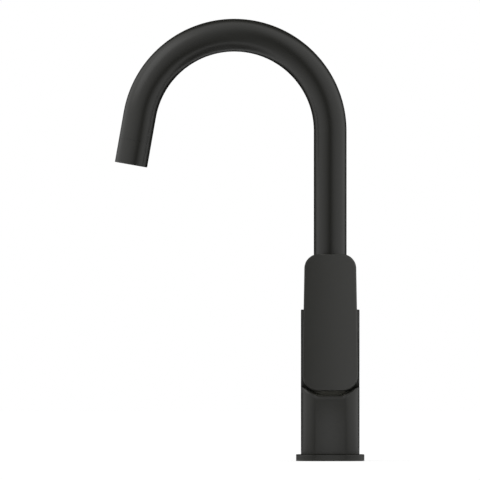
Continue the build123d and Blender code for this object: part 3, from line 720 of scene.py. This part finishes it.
def textured(name, group, values, bump, metallic, coat, centre=(0, 0, 0), turn=(0, 0, 0)):
    """A Principled material whose colour, roughness and bump come from a group. The
    group reads Object coordinates, moved to centre and turned so that its Z is the
    piece's axis."""
    material = bpy.data.materials.new(name)
    material.use_nodes = True
    tree = material.node_tree
    shader = tree.nodes["Principled BSDF"]
    shader.inputs["Metallic"].default_value = metallic
    shader.inputs["Coat Weight"].default_value = coat
    gloss = bpy.context.scene.mixer_finish.gloss_roughness
    shader.inputs["Coat Roughness"].default_value = gloss
    shader.inputs["Base Color"].default_value = (*values["Colour"], 1)
    shader.inputs["Roughness"].default_value = values["Roughness"]
    coordinates = tree.nodes.new("ShaderNodeTexCoord")
    mapping = place_node(
        tree, "ShaderNodeMapping", vector_type="TEXTURE", Location=centre, Rotation=turn
    )
    tree.links.new(coordinates.outputs["Object"], mapping.inputs["Vector"])
    effect = place_node(tree, "ShaderNodeGroup", node_tree=group)
    for key, value in values.items():
        effect.inputs[key].default_value = (*value, 1) if key == "Colour" else value
    tree.links.new(mapping.outputs["Vector"], effect.inputs["Vector"])
    relief = place_node(tree, "ShaderNodeBump", Strength=1.0, Distance=bump)
    tree.links.new(effect.outputs["Height"], relief.inputs["Height"])
    tree.links.new(effect.outputs["Colour"], shader.inputs["Base Color"])
    tree.links.new(effect.outputs["Roughness"], shader.inputs["Roughness"])
    tree.links.new(relief.outputs["Normal"], shader.inputs["Normal"])
    return material


# The axis that a turned piece's tool marks run about: its name, a point and its turn
LEG_TURN = (0, radians(-170), 0)
TURNED_ABOUT = {
    "spout_foot": ("up", (0, 0, 0), (0, 0, 0)),
    "lever_screw": ("up", (0, -14.3 * MM, 0), (0, 0, 0)),
    "spout_screw": ("screw", (0, 0, 101.8 * MM), (pi / 2, 0, 0)),
    "stem": ("cartridge", tuple(PIVOT), (pi / 2, 0, 0)),
    "stem_carrier": ("cartridge", tuple(PIVOT), (pi / 2, 0, 0)),
    "cartridge_nut": ("cartridge", tuple(PIVOT), (pi / 2, 0, 0)),
    "stem_pin": ("pin", tuple(PIVOT), (0, pi / 2, 0)),
    "aerator_screen": ("leg", (0, 0, 0), LEG_TURN),
}


def finish_for(slot, node=None):
    """The finish of one of the record's material slots, made once for each axis that
    its pieces are turned about."""
    axis, centre, turn = TURNED_ABOUT.get(node, ("", (0, 0, 0), (0, 0, 0)))
    name = "finish_" + slot + ("_" + axis if axis else "")
    found = bpy.data.materials.get(name)
    if found:
        return found
    finish = bpy.context.scene.mixer_finish

    # Colour, roughness, size of the grain, drift, height of the grain, clear gloss
    grained = {
        "matt_black": (finish.coat, finish.coat_roughness, finish.coat_grain, 0.05, 2e-6, 0.0),
        "black_plastic": (finish.black_plastic, 0.42, 0.5 * MM, 0.1, 6e-6, 0.0),
        "grey_plastic": (finish.grey_plastic, 0.4, 0.6 * MM, 0.08, 8e-6, 0.0),
        "black_rubber": (finish.rubber, 0.7, 0.2 * MM, 0.2, 12e-6, 0.0),
        "ceramic": (finish.ceramic, 0.22, 0.15 * MM, 0.05, 1e-6, 0.4),
    }
    if slot in grained:
        tint, roughness, size, drift, bump, gloss = grained[slot]
        values = {"Colour": tint, "Roughness": roughness, "Size": size, "Drift": drift}
        return textured(name, grain_group(), values, bump, 0.0, gloss)
    tint, roughness = {"brass": (finish.brass, 0.3), "steel": (finish.steel, 0.28)}[slot]
    values = {"Colour": tint, "Roughness": roughness, "Pitch": finish.tool_pitch}
    return textured(
        name, tooling_group(), values, finish.tool_depth, 1.0, 0.0, centre, turn
    )


def finish_nodes(names):
    """Give pieces of the frame the finish of their slot in the record."""
    for name in names:
        mesh = frame["nodes"][name].data
        slot = mesh.materials[0].name.split(".")[0]
        mesh.materials.clear()
        mesh.materials.append(finish_for(slot, name))


# Studio

TENT_RADIUS = 0.27
TENT_HEIGHT = 0.7
TENT_SIDES = 96
FRONT_CORE = radians(3)  # bearing up to which the tent's front is full
FRONT_LEFT, FRONT_RIGHT = radians(35), radians(23)  # bearing over which it thins e-fold
FRONT_RISE = (0.3, 0.75)  # heights between which the front thins
FRONT_TOP = 0.3  # what is left of it above them
BACK_RISE = (radians(97), radians(132))  # bearings between which the back sets in
BACK_SHIFT = radians(9)  # how much further round it does so on the right
ROOF_RISE = (-0.02, 0.2)  # places along Y between which the roof sets in
ROOF_EDGE = 0.01
GROUND_RADIUS = 0.25
FOOT_RISE, FOOT_COVER = (0.03, 0.09), (0.4, 0.85)  # distances and how dense it is there
GROUND_FALL = (0.1, 0.24)  # distances between which the ground's cover ends
FLOOR_HALF = 4
FLOOR_OVER = 0.02  # how far past white the floor's brightness goes

# Name, which is also that of its brightness, then place, aim, width, height and the
# pieces that it lights, or none for all
LAMPS = (
    ("key", (-0.56, -0.25, 0.66), (-0.10, 0, 0.24), 0.5, 0.5, ()),
    ("lever_panel", (0.118, -0.16, 0.1), (0.118, 0, 0.1), 0.25, 0.4, ("lever",)),
    (
        "base_panel", (0, -0.10, 0.012), (0, 0, 0.012), 0.01, 0.05,
        ("body_skin", "base_flange"),
    ),
    ("rim_panel", (0, -0.11, 0.085), (0, -0.02, 0.045), 0.12, 0.07, ("body_skin",)),
)


def seen_rays(tree):
    """1 for camera, glossy and transmission rays, which see the white background."""
    path = tree.nodes.new("ShaderNodeLightPath")
    direct = maths(tree, "MAXIMUM", path.outputs["Is Camera Ray"], path.outputs["Is Glossy Ray"])
    return maths(tree, "MAXIMUM", direct, path.outputs["Is Transmission Ray"])


def make_world(context, room):
    """White where it is seen or reflected, and the room's level as light."""
    world = bpy.data.worlds.new("world")
    context.scene.world = world
    world.use_nodes = True
    tree = world.node_tree
    background = tree.nodes["Background"]
    background.inputs["Color"].default_value = (1, 1, 1, 1)
    strength = ramp(tree, seen_rays(tree), 0, 1, room, 1, "LINEAR")
    tree.links.new(strength, background.inputs["Strength"])
    world.cycles.sampling_method = "NONE"


def empty_material(name):
    """A material with only its output node, which comes with its tree."""
    material = bpy.data.materials.new(name)
    material.use_nodes = True
    tree = material.node_tree
    tree.nodes.clear()
    return material, tree, tree.nodes.new("ShaderNodeOutputMaterial")


def stage_mesh(name, points, faces, material):
    """A piece of the studio, which isn't part of the object."""
    mesh = new_mesh(name, points, faces)
    mesh.materials.append(material)
    piece = new_object(name, mesh)
    return piece


def painted_reflection_card(name, points, faces, make_cover):
    """A black sheet that paints dark reflections: it shows in the object's gloss and nowhere
    else, and neither takes nor blocks light. make_cover gives how dense it is from its material's
    tree and the X, Y and Z of a point on it."""
    material, tree, out = empty_material(name)
    split = tree.nodes.new("ShaderNodeSeparateXYZ")
    tree.links.new(tree.nodes.new("ShaderNodeTexCoord").outputs["Object"], split.inputs[0])
    mix = tree.nodes.new("ShaderNodeMixShader")
    tree.links.new(make_cover(tree, *split.outputs), mix.inputs[0])
    tree.links.new(tree.nodes.new("ShaderNodeBsdfTransparent").outputs[0], mix.inputs[1])
    dark = place_node(tree, "ShaderNodeEmission", Strength=0)
    tree.links.new(dark.outputs[0], mix.inputs[2])
    tree.links.new(mix.outputs[0], out.inputs[0])
    piece = stage_mesh(name, points, faces, material)
    for ray in ("camera", "diffuse", "transmission", "volume_scatter", "shadow"):
        setattr(piece, "visible_" + ray, False)


def tent_reflection_cover(tree, x, y, z):
    """Painted dark reflection: dense in front, thinner by an exponential of the bearing to both
    sides and towards the top, and dense again at the back, so that the object's gloss shows the
    white world only where the cover is thin."""
    bearing = maths(tree, "ARCTAN2", x, maths(tree, "MULTIPLY", y, -1.0))
    right = maths(tree, "GREATER_THAN", bearing, 0.0)
    away = maths(tree, "ABSOLUTE", bearing)
    reach = ramp(tree, right, 0, 1, FRONT_LEFT, FRONT_RIGHT, "LINEAR")
    past = maths(tree, "MAXIMUM", maths(tree, "SUBTRACT", away, FRONT_CORE), 0.0)
    falling = maths(tree, "MULTIPLY", maths(tree, "DIVIDE", past, reach), -1.0)
    front = maths(tree, "EXPONENT", falling)
    front = maths(tree, "MULTIPLY", front, ramp(tree, z, *FRONT_RISE, 1.0, FRONT_TOP))
    behind = maths(tree, "SUBTRACT", away, maths(tree, "MULTIPLY", right, BACK_SHIFT))
    roof = ramp(tree, z, TENT_HEIGHT - ROOF_EDGE, TENT_HEIGHT, 0, 1)
    wall = maths(tree, "SUBTRACT", 1.0, roof)
    back = maths(tree, "MULTIPLY", ramp(tree, behind, *BACK_RISE, 0, 1), wall)
    back_roof = maths(tree, "MULTIPLY", ramp(tree, y, *ROOF_RISE, 0.0, 1.0), roof)
    return maths(tree, "MAXIMUM", front, maths(tree, "ADD", back, back_roof))


def ground_shade_cover(tree, x, y, z):
    """Painted shade in the object's reflection of the floor: dense around the object's foot and
    gone at the tent's wall.
    """
    away = distance_out(tree, x, y)
    near = ramp(tree, away, *FOOT_RISE, *FOOT_COVER)
    return maths(tree, "MULTIPLY", near, ramp(tree, away, *GROUND_FALL, 1.0, 0.0))


def make_reflection_tent():
    """A round tent and a disc on the ground, both painted dark reflections: rings of points
    radius * (sin a, -cos a).
    """
    turn = np.linspace(0, 2 * pi, TENT_SIDES, endpoint=False)
    circle = np.stack([np.sin(turn), -np.cos(turn), 0 * turn], -1)
    profile = np.array([
        (TENT_RADIUS, MM), (TENT_RADIUS, TENT_HEIGHT),
        (TENT_RADIUS / 2, TENT_HEIGHT), (MM, TENT_HEIGHT),
    ])
    points = circle * profile[:, :1, None]
    points[..., 2] = profile[:, 1:]
    # Painted dark reflection: the tent shows only in the object's gloss
    painted_reflection_card("tent", points, grid_faces(len(profile), TENT_SIDES), tent_reflection_cover)
    ground = GROUND_RADIUS * circle
    ground[:, 2] = 0.5 * MM
    # Painted shade: a dark disc seen only in the object's reflection of the floor around its foot
    painted_reflection_card("ground_card", ground, [tuple(range(TENT_SIDES))], ground_shade_cover)


def make_floor(stage):
    """A pale floor that takes the object's shadow and is white where it is seen."""
    material, tree, out = empty_material("floor")
    diffuse = place_node(tree, "ShaderNodeBsdfDiffuse", Color=(stage.floor,) * 3 + (1,))
    glow = tree.nodes.new("ShaderNodeEmission")
    lift = 1 - stage.floor * stage.room + FLOOR_OVER
    tree.links.new(maths(tree, "MULTIPLY", seen_rays(tree), lift), glow.inputs["Strength"])
    add = tree.nodes.new("ShaderNodeAddShader")
    tree.links.new(diffuse.outputs[0], add.inputs[0])
    tree.links.new(glow.outputs[0], add.inputs[1])
    tree.links.new(add.outputs[0], out.inputs[0])
    corners = FLOOR_HALF * np.array([[-1, -1, 0], [1, -1, 0], [1, 1, 0], [-1, 1, 0]], float)
    stage_mesh("floor", corners, [(0, 1, 2, 3)], material)


def lamp(name, place, aim, width, height, pieces, radiance):
    """A rectangular lamp of this radiance that faces aim, and lights only the named
    pieces if any are given."""
    data = bpy.data.lights.new(name, "AREA")
    data.shape = "RECTANGLE"
    data.size, data.size_y = width, height
    data.energy = radiance * pi * width * height
    made = new_object(name, data)
    made.location = place
    facing = (Vector(aim) - Vector(place)).to_track_quat("-Z", "Y")
    made.rotation_euler = facing.to_euler()
    made.visible_camera = False
    if pieces:
        lit = bpy.data.collections.new(name + "_pieces")
        for piece in pieces:
            lit.objects.link(bpy.data.objects[piece])
        made.light_linking.receiver_collection = lit
    return made


def light_gap(stage):
    """A narrow light just in front of the gap under the lever."""
    front, drop = 21.5 * MM, 1.7 * MM
    width, height = 20 * MM, 2.4 * MM
    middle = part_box("lever")[0].z - drop
    made = lamp(
        "gap_light", (0, -front, middle), (0, 0, middle), width, height, ("body_skin",),
        stage.gap_light,
    )
    made.data.spread = radians(50)
    made.visible_glossy = False


def make_camera(context, stage):
    """A level camera that looks along +Y from far away, so that edges stay parallel."""
    data = bpy.data.cameras.new("camera")
    data.lens = stage.lens
    data.sensor_width = stage.sensor
    camera = new_object("camera", data)
    camera.location = (stage.camera_side, -stage.distance, stage.camera_height)
    camera.rotation_euler = (pi / 2, 0, 0)
    context.scene.camera = camera


# Operators

class MIXER_OT_body(bpy.types.Operator):
    """Make the body, with its recess, ledge and bores"""

    bl_idname = "mixer.body"
    bl_label = "Body"

    def execute(self, context):
        settings = context.scene.mixer_body
        piece = new_object("body_skin", body_mesh(settings))
        cut(piece, list(body_cutters(settings)))
        dress(piece, "mixer_body", "matt_black", ["body"])
        return {"FINISHED"}


class MIXER_OT_spout(bpy.types.Operator):
    """Make the spout's tube"""

    bl_idname = "mixer.spout"
    bl_label = "Spout tube"

    def execute(self, context):
        settings = context.scene.mixer_spout
        route = SpoutRoute(settings)
        end = route.riser + route.arc + settings.leg
        outer, inner = route.radius, route.radius - settings.wall
        corners = [(0, inner), (end, inner), (end, outer), (0, outer)]
        profile = rounded(corners, (0, 0, settings.edge, 0), settings.edge_rows)
        profile = split_long(profile, settings.row_length)
        points = route.sweep(profile, settings.sides)
        faces = grid_faces(len(profile), settings.sides, closed_rows=True)
        name = "spout_tube_skin"
        piece = new_object(name, new_mesh(name, points, faces))
        dress(piece, "spout", "matt_black", ["spout_tube"])
        return {"FINISHED"}


class MIXER_OT_coated(bpy.types.Operator):
    """Finish the lever, the flange, the outlet's sleeve and the slide ring"""

    bl_idname = "mixer.coated"
    bl_label = "Coated pieces"

    def execute(self, context):
        finish_nodes(("lever", "base_flange", "outlet_sleeve", "slide_ring"))
        return {"FINISHED"}


class MIXER_OT_cartridge(bpy.types.Operator):
    """Finish the cartridge, its discs and the stem"""

    bl_idname = "mixer.cartridge"
    bl_label = "Cartridge"

    def execute(self, context):
        finish_nodes((
            "cartridge_base", "cartridge_housing", "cartridge_nut", "fixed_disc", "moving_disc",
            "disc_driver", "stem_carrier", "stem_pin", "stem",
        ))
        return {"FINISHED"}


class MIXER_OT_outlet(bpy.types.Operator):
    """Finish the aerator, its flow regulator, screen and grid"""

    bl_idname = "mixer.outlet"
    bl_label = "Aerator"

    def execute(self, context):
        finish_nodes(("aerator_housing", "flow_regulator", "aerator_screen", "aerator_grid"))
        return {"FINISHED"}


class MIXER_OT_fixings(bpy.types.Operator):
    """Finish the spout's foot, the screws and every seal"""

    bl_idname = "mixer.fixings"
    bl_label = "Foot, screws and seals"

    def execute(self, context):
        finish_nodes((
            "spout_foot", "spout_screw", "lever_screw", "base_gasket", "port_seals", "disc_seals",
            "spout_seals", "sleeve_seal", "aerator_gasket",
        ))
        return {"FINISHED"}


class MIXER_OT_stage(bpy.types.Operator):
    """Set the camera, the lights, the floor and the dark sheets that paint the object's
    reflections
    """

    bl_idname = "mixer.stage"
    bl_label = "Stage"

    def execute(self, context):
        stage = context.scene.mixer_stage
        make_camera(context, stage)
        make_world(context, stage.room)
        make_reflection_tent()
        make_floor(stage)
        for name, *values in LAMPS:
            lamp(name, *values, getattr(stage, name))
        light_gap(stage)
        context.scene.view_settings.view_transform = "Standard"
        return {"FINISHED"}


OPERATORS = (
    MIXER_OT_body, MIXER_OT_spout, MIXER_OT_coated, MIXER_OT_cartridge, MIXER_OT_outlet,
    MIXER_OT_fixings, MIXER_OT_stage,
)


class MIXER_PT_panel(bpy.types.Panel):
    """Buttons that build the mixer"""

    bl_idname = "MIXER_PT_panel"
    bl_label = "Basin Mixer"
    bl_space_type = "VIEW_3D"
    bl_region_type = "UI"
    bl_category = "Mixer"

    def draw(self, context):
        for operator in OPERATORS:
            self.layout.operator(operator.bl_idname)


SETTINGS = {
    "mixer_body": BodySettings,
    "mixer_spout": SpoutSettings,
    "mixer_finish": FinishSettings,
    "mixer_stage": StageSettings,
}
CLASSES = (*SETTINGS.values(), *OPERATORS, MIXER_PT_panel)


def register():
    for kind in CLASSES:
        bpy.utils.register_class(kind)
    for name, kind in SETTINGS.items():
        setattr(bpy.types.Scene, name, PointerProperty(type=kind))


def unregister():
    for name in SETTINGS:
        delattr(bpy.types.Scene, name)
    for kind in reversed(CLASSES):
        bpy.utils.unregister_class(kind)


def main():
    register()
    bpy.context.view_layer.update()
    bpy.ops.mixer.body()
    bpy.ops.mixer.spout()
    bpy.ops.mixer.coated()
    bpy.ops.mixer.cartridge()
    bpy.ops.mixer.outlet()
    bpy.ops.mixer.fixings()
    bpy.ops.mixer.stage()


if __name__ == "__main__":
    main()
